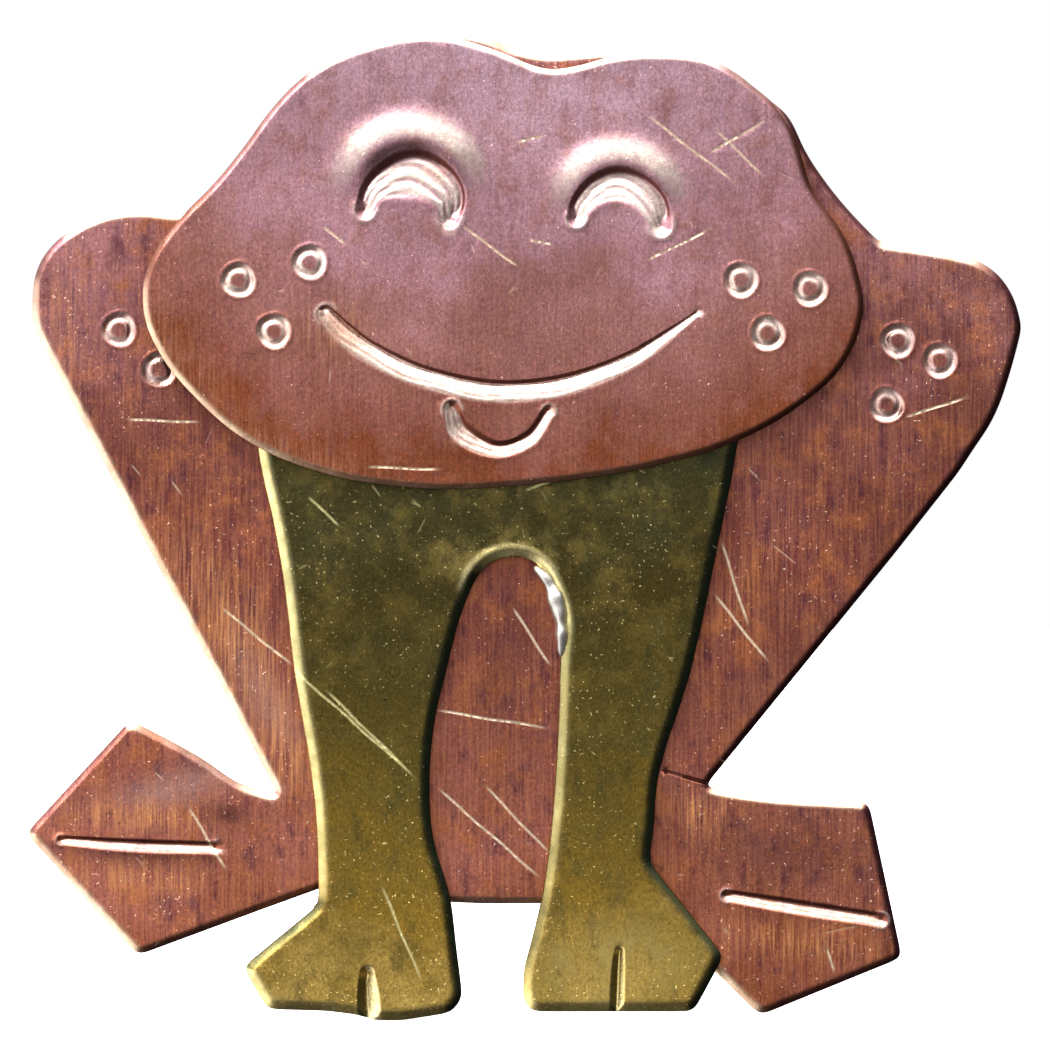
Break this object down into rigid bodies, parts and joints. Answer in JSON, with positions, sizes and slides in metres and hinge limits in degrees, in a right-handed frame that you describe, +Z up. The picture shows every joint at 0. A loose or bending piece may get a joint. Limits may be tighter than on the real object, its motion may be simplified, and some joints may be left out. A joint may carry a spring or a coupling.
{
  "type": "frog brooch",
  "caption": "Flat frog brooch of layered copper and brass sheet with stamped smile, hinged pin and turning safety catch behind.",
  "frame": {"origin": "centre of the back plate's rear face, which lies against the garment", "axes": "+Y out of the rear face into the garment, +Z up the frog, +X to the right of someone facing the frog"},
  "size_m": [0.0449, 0.0108, 0.0448],
  "materials": {
    "copper_back": "brushed, tarnished copper",
    "copper_head": "brushed, tarnished copper",
    "brass": "worn, tarnished brass",
    "solder": "dull silvery solder",
    "nickel": "nickel plated",
    "steel": "bright steel wire"
  },
  "bodies": {
    "plaque": {"back_plate": "copper_back", "front_legs_plate": "brass", "head_plate": "copper_head", "solder_legs": "solder", "solder_head": "solder", "solder_bar": "solder", "pin_bar": "nickel", "hinge_rivet": "steel"},
    "stem": {"pin_stem": "steel"},
    "roller": {"catch_roller": "nickel"}
  },
  "joints": [
    {"name": "pin_swing", "type": "hinge", "parent": "plaque", "child": "stem", "pos_m": [-0.013, 0.0055, 0.0115], "axis": [0, 0, 1], "range_deg": [0, 100]},
    {"name": "catch_turn", "type": "hinge", "parent": "plaque", "child": "roller", "pos_m": [0.013, 0.0055, 0.0115], "axis": [1, 0, 0], "range_deg": [0, 110]}
  ]
}
